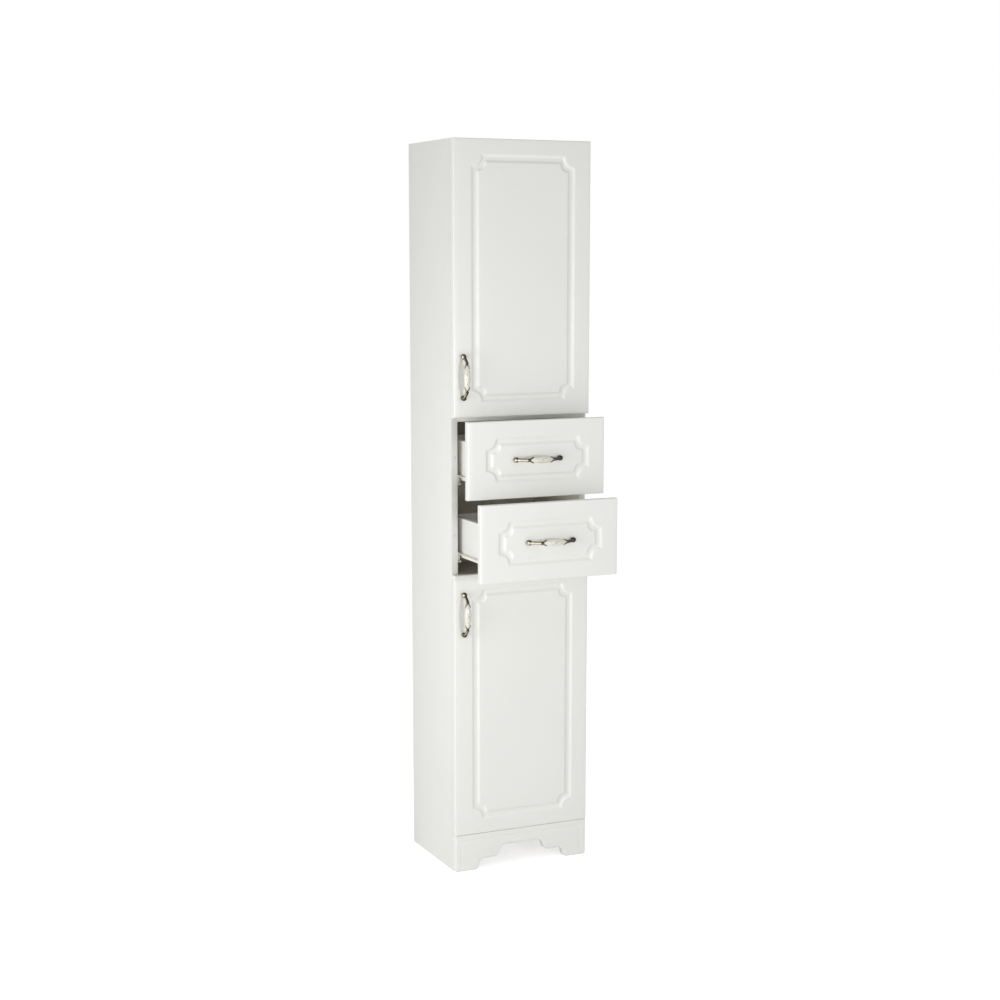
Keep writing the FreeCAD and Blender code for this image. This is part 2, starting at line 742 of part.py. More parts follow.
# ---------------------------------------------------------------- bumpers and wall brackets
bumper_x = half - board / 2
bumper_places = []
for bottom, front_height in ((lower_door_z, lower_door_height), (upper_door_z, upper_door_height)):
    bumper_places += [(-bumper_x, bottom + bumper_from_end), (-bumper_x, bottom + front_height - bumper_from_end)]
for bottom in (lower_front_z, upper_front_z):
    bumper_places += [(x, bottom + drawer_front_height / 2) for x in (-bumper_x, bumper_x)]
for x, z in bumper_places:
    keep("bumper_pads", turned([(0, bumper_radius), (front_stand_off - seat_clearance, bumper_radius * 0.7)],
                               Vector(x, front_plane, z), Vector(0, -1, 0), 8))

under_top = total_height - board
for x in (-bracket_offset, bracket_offset):
    low_x = x - bracket_width / 2
    high_x = x + bracket_width / 2
    leg = box(low_x, high_x, -bracket_leg, 0, under_top - bracket_sheet, under_top)
    plate = box(low_x, high_x, -bracket_sheet, 0, under_top - bracket_leg, under_top)
    hole = rod(bracket_hole_radius, Vector(x, -bracket_sheet - 1, bracket_hole_z), Vector(x, 1, bracket_hole_z))
    keep("wall_brackets", leg.fuse(plate).removeSplitter().cut(hole))

# ---------------------------------------------------------------- one file for each node
for name, shapes in nodes.items():
    whole = shapes[0] if len(shapes) == 1 else Part.makeCompound(shapes)
    whole.exportStep("parts/" + name + ".step")
    print(name, len(shapes), round(sum(s.Volume for s in shapes) / 1000.0, 2), all(s.isValid() for s in shapes))
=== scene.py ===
import math

import bpy
import numpy as np
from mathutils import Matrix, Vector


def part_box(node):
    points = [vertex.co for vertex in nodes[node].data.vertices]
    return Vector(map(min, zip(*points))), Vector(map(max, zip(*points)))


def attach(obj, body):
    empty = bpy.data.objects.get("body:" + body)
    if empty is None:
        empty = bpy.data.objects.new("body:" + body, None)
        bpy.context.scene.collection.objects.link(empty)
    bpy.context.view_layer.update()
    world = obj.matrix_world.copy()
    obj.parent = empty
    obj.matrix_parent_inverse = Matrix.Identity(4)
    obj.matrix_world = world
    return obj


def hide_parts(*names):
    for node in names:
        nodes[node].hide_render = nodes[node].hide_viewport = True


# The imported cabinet: five bodies (carcass, two doors, two drawers), each solid in its place with its record name.
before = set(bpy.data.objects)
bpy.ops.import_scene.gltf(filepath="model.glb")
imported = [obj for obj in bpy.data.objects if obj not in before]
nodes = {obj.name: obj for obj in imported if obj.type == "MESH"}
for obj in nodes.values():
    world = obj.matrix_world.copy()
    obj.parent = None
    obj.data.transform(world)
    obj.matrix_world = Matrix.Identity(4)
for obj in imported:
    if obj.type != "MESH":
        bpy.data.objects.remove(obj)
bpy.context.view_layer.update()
doors = ("upper_door", "lower_door")
drawers = ("upper_drawer", "lower_drawer")

# The camera stands a little over four metres off, left of the cabinet and a little under its top, and looks down.
camera_data = bpy.data.cameras.new("photo_camera")
camera_data.sensor_width = 36.0
camera_data.lens = 66.31
camera_data.shift_y = 0.0607
camera = bpy.data.objects.new("photo_camera", camera_data)
camera.location = (-1.8465, -4.1774, 1.4603)
camera.rotation_euler = (math.radians(90.0 - 9.340), 0.0, math.radians(-24.588))
bpy.context.scene.collection.objects.link(camera)
bpy.context.scene.camera = camera
bpy.context.scene.view_settings.view_transform = "Standard"

# The room light: an even pale sky that shows as white behind the cabinet and in its metal. A wide lamp at the left
# draws the two walls of each routed groove, a screen nearer the camera lightens the fronts, and a small lamp in front
# lays the handles' soft shadows on the doors.
lamp_aim = (0.0, -0.27, 1.0)


def filled(tree, node, inputs):
    """The node with its inputs, given by name or number: a socket is linked, anything else is set as the value."""
    for entry, value in inputs.items():
        if isinstance(value, bpy.types.NodeSocket):
            tree.links.new(value, node.inputs[entry])
        else:
            node.inputs[entry].default_value = value
    return node


def add_node(tree, kind, inputs):
    """A new shader node of a kind, filled."""
    return filled(tree, tree.nodes.new("ShaderNode" + kind), inputs)


def maths(tree, operation, *values):
    """The output of a maths node whose inputs are the values, each a socket or a number."""
    node = add_node(tree, "Math", dict(enumerate(values)))
    node.operation = operation
    return node.outputs[0]


def seen_rays(tree):
    """1 for the camera's rays and for the rays of gloss and glass, 0 for the rest of the light."""
    rays = tree.nodes.new("ShaderNodeLightPath").outputs
    passed_on = maths(tree, "MAXIMUM", rays["Is Glossy Ray"], rays["Is Transmission Ray"])
    return maths(tree, "MAXIMUM", rays["Is Camera Ray"], passed_on)


def soft_lamp(name, place, aim, size, watts):
    """A square lamp at place, turned so that its face looks at aim."""
    lamp_data = bpy.data.lights.new(name, "AREA")
    lamp_data.size = size
    lamp_data.energy = watts
    lamp = bpy.data.objects.new(name, lamp_data)
    away = np.array(place, float) - np.array(aim, float)
    flat = math.hypot(away[0], away[1])
    lamp.location = place
    lamp.rotation_euler = (math.atan2(flat, away[2]), 0.0, math.atan2(away[0], -away[1]))
    bpy.context.scene.collection.objects.link(lamp)


sky = bpy.data.worlds.new("studio")
sky.use_nodes = True
sky_tree = sky.node_tree
sky_plain = filled(sky_tree, sky_tree.nodes["Background"], {"Color": (1.0, 1.0, 1.0, 1.0), "Strength": 0.45})
sky_white = add_node(sky_tree, "Background", {"Color": (1.0, 1.0, 1.0, 1.0), "Strength": 1.0})
sky_mix = add_node(sky_tree, "MixShader", {"Fac": seen_rays(sky_tree), 1: sky_plain.outputs["Background"],
                                           2: sky_white.outputs["Background"]})
sky_tree.links.new(sky_mix.outputs["Shader"], sky_tree.nodes["World Output"].inputs["Surface"])
bpy.context.scene.world = sky
soft_lamp("left_window", (-2.20, -0.90, 0.80), lamp_aim, 1.2, 22.5)
soft_lamp("near_screen", (-1.30, -1.90, 0.85), lamp_aim, 0.9, 6.8)
soft_lamp("front_lamp", (0.25, -3.20, 0.95), lamp_aim, 0.35, 21.5)

# The floor: pale and even, so bright that it runs into the white behind, and it keeps the cabinet's soft shadow.
floor_reach = 14.0


def new_finish(name):
    """A new material, its node tree and its main shader."""
    finish = bpy.data.materials.new(name)
    finish.use_nodes = True
    return finish, finish.node_tree, finish.node_tree.nodes["Principled BSDF"]


floor_mesh = bpy.data.meshes.new("floor")
floor_mesh.from_pydata([(-floor_reach, -floor_reach, 0), (floor_reach, -floor_reach, 0),
                        (floor_reach, floor_reach, 0), (-floor_reach, floor_reach, 0)], [], [(0, 1, 2, 3)])
floor = bpy.data.objects.new("floor", floor_mesh)
bpy.context.scene.collection.objects.link(floor)
floor_finish, floor_tree, floor_shader = new_finish("pale_floor")
filled(floor_tree, floor_shader, {"Base Color": (0.80, 0.80, 0.79, 1.0), "Roughness": 0.9, "Specular IOR Level": 0.0})
floor_dark = add_node(floor_tree, "Emission", {"Strength": 0.0})
floor_glow = add_node(floor_tree, "Emission", {"Strength": 0.68})
floor_lift = add_node(floor_tree, "MixShader", {"Fac": seen_rays(floor_tree), 1: floor_dark.outputs["Emission"],
                                                2: floor_glow.outputs["Emission"]})
floor_sum = add_node(floor_tree, "AddShader", {0: floor_shader.outputs["BSDF"], 1: floor_lift.outputs["Shader"]})
floor_tree.links.new(floor_sum.outputs["Shader"], floor_tree.nodes["Material Output"].inputs["Surface"])
floor_mesh.materials.append(floor_finish)


# ---- Carcass boards ------------------------------------------------------------------------------------------
# Sides, top, bottom, dividers, rear rail, loose shelves and plinth blocks are 16 mm chipboard with white melamine
# faces and a thin band on each cut edge, eased with a cutter. The boards meet face to face on glued dowels.
board_arris = 0.0008
shelf_pin_bore = 0.0025
shelf_pin_drop = 0.0026
shelf_pin_pitch = 0.032
shelf_pin_front = 0.037
shelf_pin_rear = 0.042
shelf_pin_depth = 0.009
bore_overrun = 0.001
# The next three values place and colour a painted warm shade tint on the carcass's inner faces, standing in for the
# warm light inside it.
shade_tint_start = 0.0009
shade_tint_wall_room = 0.0002
interior_shade_tint = (0.875, 0.84, 0.77, 1.0)
glue_line_back = 0.0010
glue_line_half = 0.00015
glue_tone = (0.50, 0.48, 0.43, 1.0)


def raise_relief(tree, shader, height, distance):
    """Breaks the shader's sheen with a relief of distance metres that follows the socket height."""
    bump = add_node(tree, "Bump", {"Height": height, "Distance": distance})
    tree.links.new(bump.outputs["Normal"], shader.inputs["Normal"])


def painted_surface(name, colour, roughness, mottle, grain_size, bump_height, bump_size, stretch=(1, 1, 1)):
    """A pale coated surface: its colour drifts by mottle over grain_size metres, its sheen drifts a little with it,
    and a fine relief of bump_height metres and bump_size metres breaks the sheen. stretch scales the pattern."""
    finish, tree, shader = new_finish(name)
    place = tree.nodes.new("ShaderNodeTexCoord").outputs["Object"]
    turn = add_node(tree, "Mapping", {"Vector": place, "Scale": stretch}).outputs["Vector"]
    cloud = add_node(tree, "TexNoise", {"Vector": turn, "Scale": 1.0 / grain_size, "Detail": 5.0}).outputs["Fac"]
    shades = add_node(tree, "ValToRGB", {"Fac": cloud})
    for stop, position, way in zip(shades.color_ramp.elements, (0.3, 0.7), (-1, 1)):
        stop.position = position
        stop.color = [min(1.0, c * (1 + way * mottle)) for c in colour] + [1.0]
    sheen = add_node(tree, "MapRange", {"Value": cloud, "To Min": roughness * 0.92,
                                        "To Max": min(1.0, roughness * 1.08)})
    filled(tree, shader, {"Base Color": shades.outputs["Color"], "Roughness": sheen.outputs["Result"]})
    relief = add_node(tree, "TexNoise", {"Vector": turn, "Scale": 1.0 / bump_size, "Detail": 3.0})
    raise_relief(tree, shader, relief.outputs["Fac"], bump_height)
    return finish


def coat_nodes(finish, *names):
    """Gives the named CAD solids a finish."""
    for name in names:
        for material_slot in nodes[name].material_slots:
            material_slot.material = finish


def grid_shell(points, wrap=True, caps=(True, True)):
    """Vertices and faces of a grid of points [rows, columns, 3]. wrap joins the last column to the first. A cap
    closes the first or last row with a fan about its mean point, so that no pole stays open."""
    rows, columns = points.shape[:2]
    index = np.arange(rows * columns).reshape(rows, columns)
    right = np.roll(index, -1, axis=1) if wrap else index[:, 1:]
    left = index if wrap else index[:, :-1]
    faces = np.stack([left[:-1], right[:-1], right[1:], left[1:]], axis=-1).reshape(-1, 4).tolist()
    vertices = [points.reshape(-1, 3)]
    pole = rows * columns
    for row, closed in ((0, caps[0]), (-1, caps[1])):
        if closed:
            vertices.append(points[row].mean(axis=0, keepdims=True))
            ends = (np.roll(index[row], -1), index[row]) if row == 0 else (index[row], np.roll(index[row], -1))
            faces += np.stack([*ends, np.full(columns, pole)], axis=-1).tolist()
            pole += 1
    return np.concatenate(vertices), faces


def faced_out(points, faces):
    """The faces of a closed shell, turned round if they enclose a negative volume, so that they face outwards. The
    volume is a sixth of the sum of a . (b x c) over each face's fan of triangles."""
    fans = np.array([(face[0], face[i], face[i + 1]) for face in faces for i in range(1, len(face) - 1)])
    a, b, c = (points[fans[:, i]] for i in range(3))
    volume = np.einsum("ij,ij->", a - points[0], np.cross(b - points[0], c - points[0]))
    return faces if volume > 0 else [face[::-1] for face in faces]


def mesh_of_shells(name, shells):
    """One mesh of several closed shells, each as grid_shell gives it, all facing outwards."""
    vertices = []
    faces = []
    start = 0
    for points, shell_faces in shells:
        shell_faces = faced_out(points, shell_faces)
        vertices.append(points)
        faces += [[corner + start for corner in face] for face in shell_faces]
        start += len(points)
    mesh = bpy.data.meshes.new(name)
    mesh.from_pydata(np.concatenate(vertices).tolist(), [], faces)
    return mesh


def show_piece(mesh, finish, body, replaced=(), crease=35.0):
    """Shows a mesh as a piece of the cabinet: smooth but for edges sharper than crease degrees."""
    mesh.shade_smooth()
    mesh.set_sharp_from_angle(angle=math.radians(crease))
    mesh.materials.append(finish)
    piece = bpy.data.objects.new(mesh.name, mesh)
    bpy.context.scene.collection.objects.link(piece)
    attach(piece, body)
    if replaced:
        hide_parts(*replaced)
    return piece


def round_bar(start, end, radius, sides=24):
    """A closed cylinder from start to end: rings of points start + radius * (cos t, sin t) across the axis."""
    start = np.array(start, float)
    end = np.array(end, float)
    along = (end - start) / np.linalg.norm(end - start)
    first = np.cross(along, (0.0, 0.0, 1.0) if abs(along[2]) < 0.9 else (1.0, 0.0, 0.0))
    second = np.cross(along, first)
    turn = np.linspace(0, 2 * math.pi, sides, endpoint=False)[:, None]
    ring = radius * (first * np.cos(turn) + second * np.sin(turn))
    return grid_shell(np.stack([start + ring, end + ring]))


def drilled(mesh, bores):
    """The mesh with the closed shells bores cut out of it."""
    blank = bpy.data.objects.new(mesh.name, mesh)
    drill = bpy.data.objects.new("drill", mesh_of_shells("drill", bores))
    for thing in (blank, drill):
        bpy.context.scene.collection.objects.link(thing)
    cut = blank.modifiers.new("bores", "BOOLEAN")
    cut.operation = "DIFFERENCE"
    cut.solver = "EXACT"
    cut.object = drill
    bpy.context.view_layer.update()
    done = bpy.data.meshes.new_from_object(blank.evaluated_get(bpy.context.evaluated_depsgraph_get()))
    name = mesh.name
    for used_up in (mesh, drill.data):
        bpy.data.meshes.remove(used_up)
    done.name = name
    return done


def board_shell(low, high, arris):
    """A board between two corners with eased edges. Its outline in X and Y has quarter rounds of radius arris, and
    towards each end it draws in by arris * (1 - sin t) while Z runs over arris * (1 - cos t)."""
    low = np.array(low, float)
    high = np.array(high, float)
    turn = np.linspace(0, math.pi / 2, 4)
    angle = (turn[None, :] + np.arange(4)[:, None] * math.pi / 2).ravel()
    side_x = np.repeat([1, -1, -1, 1], 4)
    side_y = np.repeat([1, 1, -1, -1], 4)
    reach = np.concatenate([np.sin(turn), np.sin(turn)[::-1]]) * arris
    level = np.concatenate([low[2] + arris * (1 - np.cos(turn)), high[2] - arris * (1 - np.cos(turn[::-1]))])
    middle = (low + high) / 2
    half = (high - low) / 2 - arris
    x = middle[0] + side_x * half[0] + reach[:, None] * np.cos(angle)
    y = middle[1] + side_y * half[1] + reach[:, None] * np.sin(angle)
    return grid_shell(np.stack([x, y, np.broadcast_to(level[:, None], x.shape)], axis=-1))


def show_board(node, body, finish, bores=()):
    """A melamine board in place of its CAD solid, with bores where it has any."""
    mesh = mesh_of_shells(node + "_board", [board_shell(*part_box(node), board_arris)])
    if bores:
        mesh = drilled(mesh, bores)
    return show_piece(mesh, finish, body, (node,), crease=20.0)


def tinted(tree, colour, tone, share):
    """The colour socket, changed to tone by the socket share."""
    mix = tree.nodes.new("ShaderNodeMix")
    mix.data_type = "RGBA"
    return filled(tree, mix, {"Factor": share, "A": colour, "B": tone}).outputs["Result"]


def carcass_faces(finish, front_y, wall_x):
    """Marks a finish by place: a painted warm shade tint, which stands in for the warm bounced light of the shaded
    interior, on every face between the two walls and behind the front edges, and a hair line of glue a millimetre
    behind those edges, where the band meets the face."""
    tree = finish.node_tree
    shader = tree.nodes["Principled BSDF"]
    place = tree.nodes.new("ShaderNodeTexCoord").outputs["Object"]
    split = add_node(tree, "SeparateXYZ", {"Vector": place}).outputs
    between = maths(tree, "LESS_THAN", maths(tree, "ABSOLUTE", split["X"]), wall_x + shade_tint_wall_room)
    behind = maths(tree, "GREATER_THAN", split["Y"], front_y + shade_tint_start)
    from_line = maths(tree, "ABSOLUTE", maths(tree, "SUBTRACT", split["Y"], front_y + glue_line_back))
    colour = shader.inputs["Base Color"].links[0].from_socket
    # Painted shade: the warm tint on the faces inside the carcass.
    colour = tinted(tree, colour, interior_shade_tint, maths(tree, "MULTIPLY", between, behind))
    colour = tinted(tree, colour, glue_tone, maths(tree, "LESS_THAN", from_line, glue_line_half))
    tree.links.new(colour, shader.inputs["Base Color"])


# Two copies of one white melamine: the carcass copy carries the painted warm shade tint inside.
melamine, carcass_melamine = [painted_surface(name, (0.800, 0.802, 0.770), 0.42, 0.010, 0.09, 0.00006, 0.0016)
                              for name in ("white_melamine", "carcass_melamine")]
carcass_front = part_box("side_panel_left")[0].y
inner_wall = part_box("side_panel_right")[0].x
carcass_faces(carcass_melamine, carcass_front, inner_wall)
shelf_bores = []
for shelf in ("shelf_upper_low", "shelf_upper_high", "shelf_lower"):
    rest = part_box(shelf)[0].z
    for bore_z in (rest - shelf_pin_drop, rest - shelf_pin_drop + shelf_pin_pitch):
        for bore_y in (carcass_front + shelf_pin_front, -shelf_pin_rear):
            shelf_bores.append((bore_y, bore_z))
for node, side in (("side_panel_left", -1), ("side_panel_right", 1)):
    show_board(node, "cabinet", carcass_melamine,
               [round_bar((side * (inner_wall - bore_overrun), y, z), (side * (inner_wall + shelf_pin_depth), y, z),
                          shelf_pin_bore, 16) for y, z in shelf_bores])
for node in ("top_panel", "bottom_panel", "lower_divider", "upper_divider", "rear_rail", "shelf_upper_low",
             "shelf_upper_high", "shelf_lower"):
    show_board(node, "cabinet", carcass_melamine)
coat_nodes(melamine, "plinth_blocks")

# ---- Back board ----------------------------------------------------------------------------------------------
# A 3 mm hardboard sheet with a pale lacquered inner face, nailed to the rear edges of the boards. The sheet is
# pierced twice under the top for the wall screws.
nail_head = 0.0021
nail_pitch = 0.130
nail_edge = 0.006
nail_height = 0.0006
nail_stand = 0.00025
end_nails_x = 0.08
sheet_arris = 0.0004
wall_hole_inset = 0.015
wall_hole_drop = 0.022
wall_hole_radius = 0.003
sheet_low, sheet_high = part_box("back_panel")
hardboard = painted_surface("lacquered_hardboard", (0.82, 0.775, 0.70), 0.62, 0.05, 0.012, 0.00010, 0.0012)


def turned_shell(profile, base, axis, sides=24):
    """A turned form: profile rows (distance, radius) swept about the axis through base. A point is base + axis *
    distance + radius * (cos t, sin t) across the axis. The first and last rows are closed."""
    profile = np.array(profile, float)
    axis = np.array(axis, float) / np.linalg.norm(axis)
    first = np.cross(axis, (0.0, 0.0, 1.0) if abs(axis[2]) < 0.9 else (1.0, 0.0, 0.0))
    first /= np.linalg.norm(first)
    second = np.cross(axis, first)
    turn = np.linspace(0, 2 * math.pi, sides, endpoint=False)[None, :, None]
    across = first * np.cos(turn) + second * np.sin(turn)
    return grid_shell(np.array(base, float) + profile[:, None, :1] * axis + profile[:, None, 1:] * across)


sheet_rear = (sheet_high.x, sheet_high.y - nail_stand, sheet_high.z)
sheet = mesh_of_shells("back_sheet", [board_shell(sheet_low, sheet_rear, sheet_arris)])
bracket_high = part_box("wall_brackets")[1]
wall_hole_z = bracket_high.z - wall_hole_drop
sheet = drilled(sheet, [round_bar((x, sheet_low.y - bore_overrun, wall_hole_z),
                                  (x, sheet_high.y + bore_overrun, wall_hole_z), wall_hole_radius)
                        for x in (wall_hole_inset - bracket_high.x, bracket_high.x - wall_hole_inset)])
show_piece(sheet, hardboard, "cabinet", ("back_panel",), crease=20.0)
coat_nodes(hardboard, "upper_drawer_bottom", "lower_drawer_bottom")
nail_x = sheet_high.x - nail_edge
nail_rows = np.arange(sheet_low.z + nail_edge, sheet_high.z, nail_pitch)
nail_places = [(x, z) for z in nail_rows for x in (-nail_x, nail_x)]
nail_places += [(x, z) for x in (-end_nails_x, 0.0, end_nails_x)
                for z in (sheet_low.z + nail_edge, sheet_high.z - nail_edge)]
nail_profile = [(0.0, nail_head), (0.0004, nail_head), (0.00055, nail_head * 0.8), (nail_height, nail_head * 0.4)]
nails = [turned_shell(nail_profile, (x, sheet_high.y - nail_height, z), (0, 1, 0), 12) for x, z in nail_places]

# ---- Door and drawer fronts ----------------------------------------------------------------------------------
# Each front is 16 mm fibreboard. A router rounds its edges and cuts a frame of grooves whose corners are notched
# by concave quarter rounds, then one white film is drawn over face and edges.
film = painted_surface("white_film", (0.815, 0.818, 0.785), 0.30, 0.008, 0.16, 0.00005, 0.0021)
edge_round = 0.0022
groove_side_margin = 0.0418
groove_shift = 0.0018
groove_width = 0.021
groove_depth = 0.0031
groove_wall_share = 0.38
outer_shoulder, outer_notch = 0.005, 0.020
field_shoulder, field_notch = 0.001, 0.018
door_end_margin = 0.034
drawer_end_margin = 0.037
back_arris = 0.0005
hinge_from_end = 0.100
cup_from_edge = 0.022
cup_radius = 0.0175
cup_bore_depth = 0.012


def segment_distance(x, z, ax, az, bx, bz):
    """Distance in the XZ plane from points to the straight line from a to b."""
    along = ((x - ax) * (bx - ax) + (z - az) * (bz - az)) / ((bx - ax) ** 2 + (bz - az) ** 2)
    along = np.clip(along, 0, 1)
    return np.hypot(x - ax - along * (bx - ax), z - az - along * (bz - az))


def notched_distance(x, z, half_x, half_z, shoulder, radius):
    """Distance from points in the first quadrant to a rectangle's outline whose corner is cut by a concave quarter
    round between two square shoulders, and whether each point lies inside that outline."""
    cx, cz = half_x - shoulder, half_z - shoulder
    nx, nz = cx - radius, cz - radius
    lines = [(half_x, 0, half_x, nz), (half_x, nz, cx, nz), (nx, cz, nx, half_z), (nx, half_z, 0, half_z)]
    gap = np.min([segment_distance(x, z, *line) for line in lines], axis=0)
    spread = np.hypot(x - cx, z - cz)
    on_arc = (x <= cx) & (z <= cz)
    gap = np.where(on_arc, np.minimum(gap, np.abs(spread - radius)), gap)
    notch = ((x > cx) & (z > nz)) | ((z > cz) & (x > nx)) | (on_arc & (spread < radius))
    return gap, (x < half_x) & (z < half_z) & ~notch


def eased_ramp(t, ease=0.28):
    """Rises from 0 to 1 along a straight slope whose first and last share, ease, is rounded into the level."""
    t = np.clip(t, 0, 1)
    slope = 1 / (1 - ease)
    start = slope * t * t / (2 * ease)
    middle = slope * (t - ease / 2)
    end = 1 - slope * (1 - t) ** 2 / (2 * ease)
    return np.where(t < ease, start, np.where(t > 1 - ease, end, middle))


def edge_roll(distance, radius):
    """Depth of a rounded edge at a distance from the outline: radius - sqrt(radius^2 - (radius - distance)^2)."""
    left = radius - np.clip(distance, 0, radius)
    return radius - np.sqrt(radius ** 2 - left ** 2)


def slab_mesh(name, face, back_y, arris=0.0):
    """A slab whose front is the grid face, seen from -Y. Its rim runs back to the plane back_y, drawn in there by
    arris towards the slab's middle if it has one, and the back is one flat face."""
    rows, columns = face.shape[:2]
    index = np.arange(rows * columns).reshape(rows, columns)
    rim = np.concatenate([index[0, :-1], index[:-1, -1], index[-1, :0:-1], index[:0:-1, 0]])
    waist = face.reshape(-1, 3)[rim].copy()
    waist[:, 1] = back_y - arris
    low, high = waist.min(axis=0), waist.max(axis=0)
    middle = (low + high) / 2
    shrink = 1 - 2 * arris / np.maximum(high - low, 1e-6)
    back = middle + (waist - middle) * shrink
    back[:, 1] = back_y
    rings = [rim] + [rows * columns + np.arange(len(rim)) + step * len(rim) for step in range(2 if arris else 1)]
    quads = [np.stack([index[:-1, :-1], index[:-1, 1:], index[1:, 1:], index[1:, :-1]], axis=-1).reshape(-1, 4)]
    for a, b in zip(rings, rings[1:]):
        quads.append(np.stack([np.roll(a, -1), a, b, np.roll(b, -1)], axis=-1))
    faces = np.concatenate(quads).tolist() + [rings[-1][::-1].tolist()]
    points = np.concatenate([face.reshape(-1, 3), waist, back] if arris else [face.reshape(-1, 3), back])
    return mesh_of_shells(name, [(points, faces)])


def front_lines(half, margin, shift):
    """Grid lines across a front, mirrored about shift: coarse in the field, fine over the groove and the edge."""
    fine_inwards, fine_outwards, coarse_step = 0.050, 0.0015, 0.012
    groove_in = half - margin - fine_inwards
    groove_out = half - margin + fine_outwards
    field = np.linspace(0, groove_in, max(3, int(groove_in / coarse_step)))[:-1]
    groove = np.linspace(groove_in, groove_out, 66)
    border = np.linspace(groove_out, half - edge_round - abs(shift), 6)[1:-1]
    rolled = half - edge_round * (1 - np.cos(np.linspace(0, math.pi / 2, 7)))
    lines = np.concatenate([field, groove, border])
    return np.unique(np.round(np.concatenate([-rolled, shift - lines, shift + lines, rolled]), 7))


def routed_front(node, body, end_margin, cup_places=()):
    """A front as a height field. Its depth is the edge's roll plus the groove's: with t the share of the way from
    the outer outline to the field's outline, the groove's two walls are eased ramps over groove_wall_share."""
    low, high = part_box(node)
    half_x = high.x
    half_z = (high.z - low.z) / 2
    middle = (high.z + low.z) / 2
    x, z = np.meshgrid(front_lines(half_x, groove_side_margin, groove_shift), front_lines(half_z, end_margin, 0.0),
                       indexing="xy")
    qx, qz = np.abs(x - groove_shift), np.abs(z)
    ring_x, ring_z = half_x - groove_side_margin, half_z - end_margin
    outer_gap, within = notched_distance(qx, qz, ring_x, ring_z, outer_shoulder, outer_notch)
    field_gap, field = notched_distance(qx, qz, ring_x - groove_width, ring_z - groove_width, field_shoulder,
                                        field_notch)
    share = outer_gap / np.maximum(outer_gap + field_gap, 1e-9)
    walls = np.minimum(eased_ramp(share / groove_wall_share), eased_ramp((1 - share) / groove_wall_share))
    depth = np.where(within & ~field, groove_depth * walls, 0)
    depth = depth + edge_roll(np.minimum(half_x - np.abs(x), half_z - qz), edge_round)
    mesh = slab_mesh(node + "_film", np.stack([x, low.y + depth, z + middle], axis=-1), high.y, back_arris)
    if cup_places:
        mesh = drilled(mesh, [round_bar((cx, high.y - cup_bore_depth, cz), (cx, high.y + bore_overrun, cz),
                                        cup_radius, 48) for cx, cz in cup_places])
    show_piece(mesh, film, body, (node,), crease=32.0)


cup_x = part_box("upper_door")[1].x - cup_from_edge
cup_levels = {}
for door in doors:
    door_low, door_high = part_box(door)
    cup_levels[door] = (door_low.z + hinge_from_end, door_high.z - hinge_from_end)
    routed_front(door, door, door_end_margin, [(cup_x, z) for z in cup_levels[door]])
for drawer in drawers:
    routed_front(drawer + "_front", drawer, drawer_end_margin)

# ---- Plinth --------------------------------------------------------------------------------------------------
# One shaped board of film-wrapped fibreboard across the front, on the floor on two feet. Its lower edge is cut in
# ogees up to a wide ledge and a middle arch, and a soft routed line follows its top and sides.
plinth_low, plinth_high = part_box("front_plinth")
film_over_top = 0.0006
plinth_high.z += film_over_top
arch_half, arch_height = 0.046, 0.054
ledge_in, ledge_out, ledge_height = 0.070, 0.102, 0.0265
foot_in = 0.122
foot_round = 0.005
ogee_bulge = 0.0024
plinth_edge_round = 0.0038
plinth_top_round = 0.0012
plinth_line_inset = 0.0155
plinth_line_half = 0.0032
plinth_line_depth = 0.0007
edge_band = 0.0275
top_band = 0.0262


def ogee(start, end, count=22):
    """An S from start to end: along the chord's first half a circular bow to one side, along the second half the
    same bow to the other. A bow's offset at s from its middle is sqrt(R^2 - s^2) - (R - bulge)."""
    start, end = np.array(start), np.array(end)
    length = np.linalg.norm(end - start)
    share = np.linspace(0, 1, count)
    quarter = length / 4
    arc_radius = (quarter ** 2 + ogee_bulge ** 2) / (2 * ogee_bulge)
    from_middle = np.where(share < 0.5, share * length - quarter, share * length - 3 * quarter)
    bow = np.sqrt(arc_radius ** 2 - from_middle ** 2) - (arc_radius - ogee_bulge)
    bow = np.where(share < 0.5, bow, -bow)
    chord = (end - start) / length
    normal = np.array([-chord[1], chord[0]])
    return start + share[:, None] * (end - start) + bow[:, None] * normal


def plinth_edge():
    """The plinth's lower edge from left to right as points (x, z): arch, ogee, ledge, ogee, foot and a rounded
    outer corner, mirrored about the middle."""
    half = plinth_high.x
    turn = np.linspace(0, math.pi / 2, 7)
    corner = np.stack([half - foot_round + foot_round * np.sin(turn), foot_round * (1 - np.cos(turn))], axis=-1)
    line_x = half - plinth_line_inset
    foot_x = np.concatenate([np.linspace(foot_in, line_x - 0.0050, 12)[1:],
                             np.linspace(line_x - 0.0045, half - foot_round, 16)[:-1]])
    right = np.concatenate([
        np.stack([np.linspace(0, arch_half, 12)[:-1], np.full(11, arch_height)], axis=-1),
        ogee((arch_half, arch_height), (ledge_in, ledge_height)),
        np.stack([np.linspace(ledge_in, ledge_out, 10)[1:-1], np.full(8, ledge_height)], axis=-1),
        ogee((ledge_out, ledge_height), (foot_in, 0.0)),
        np.stack([foot_x, np.zeros(len(foot_x))], axis=-1), corner])
    return np.concatenate([right[:0:-1] * (-1, 1), right])


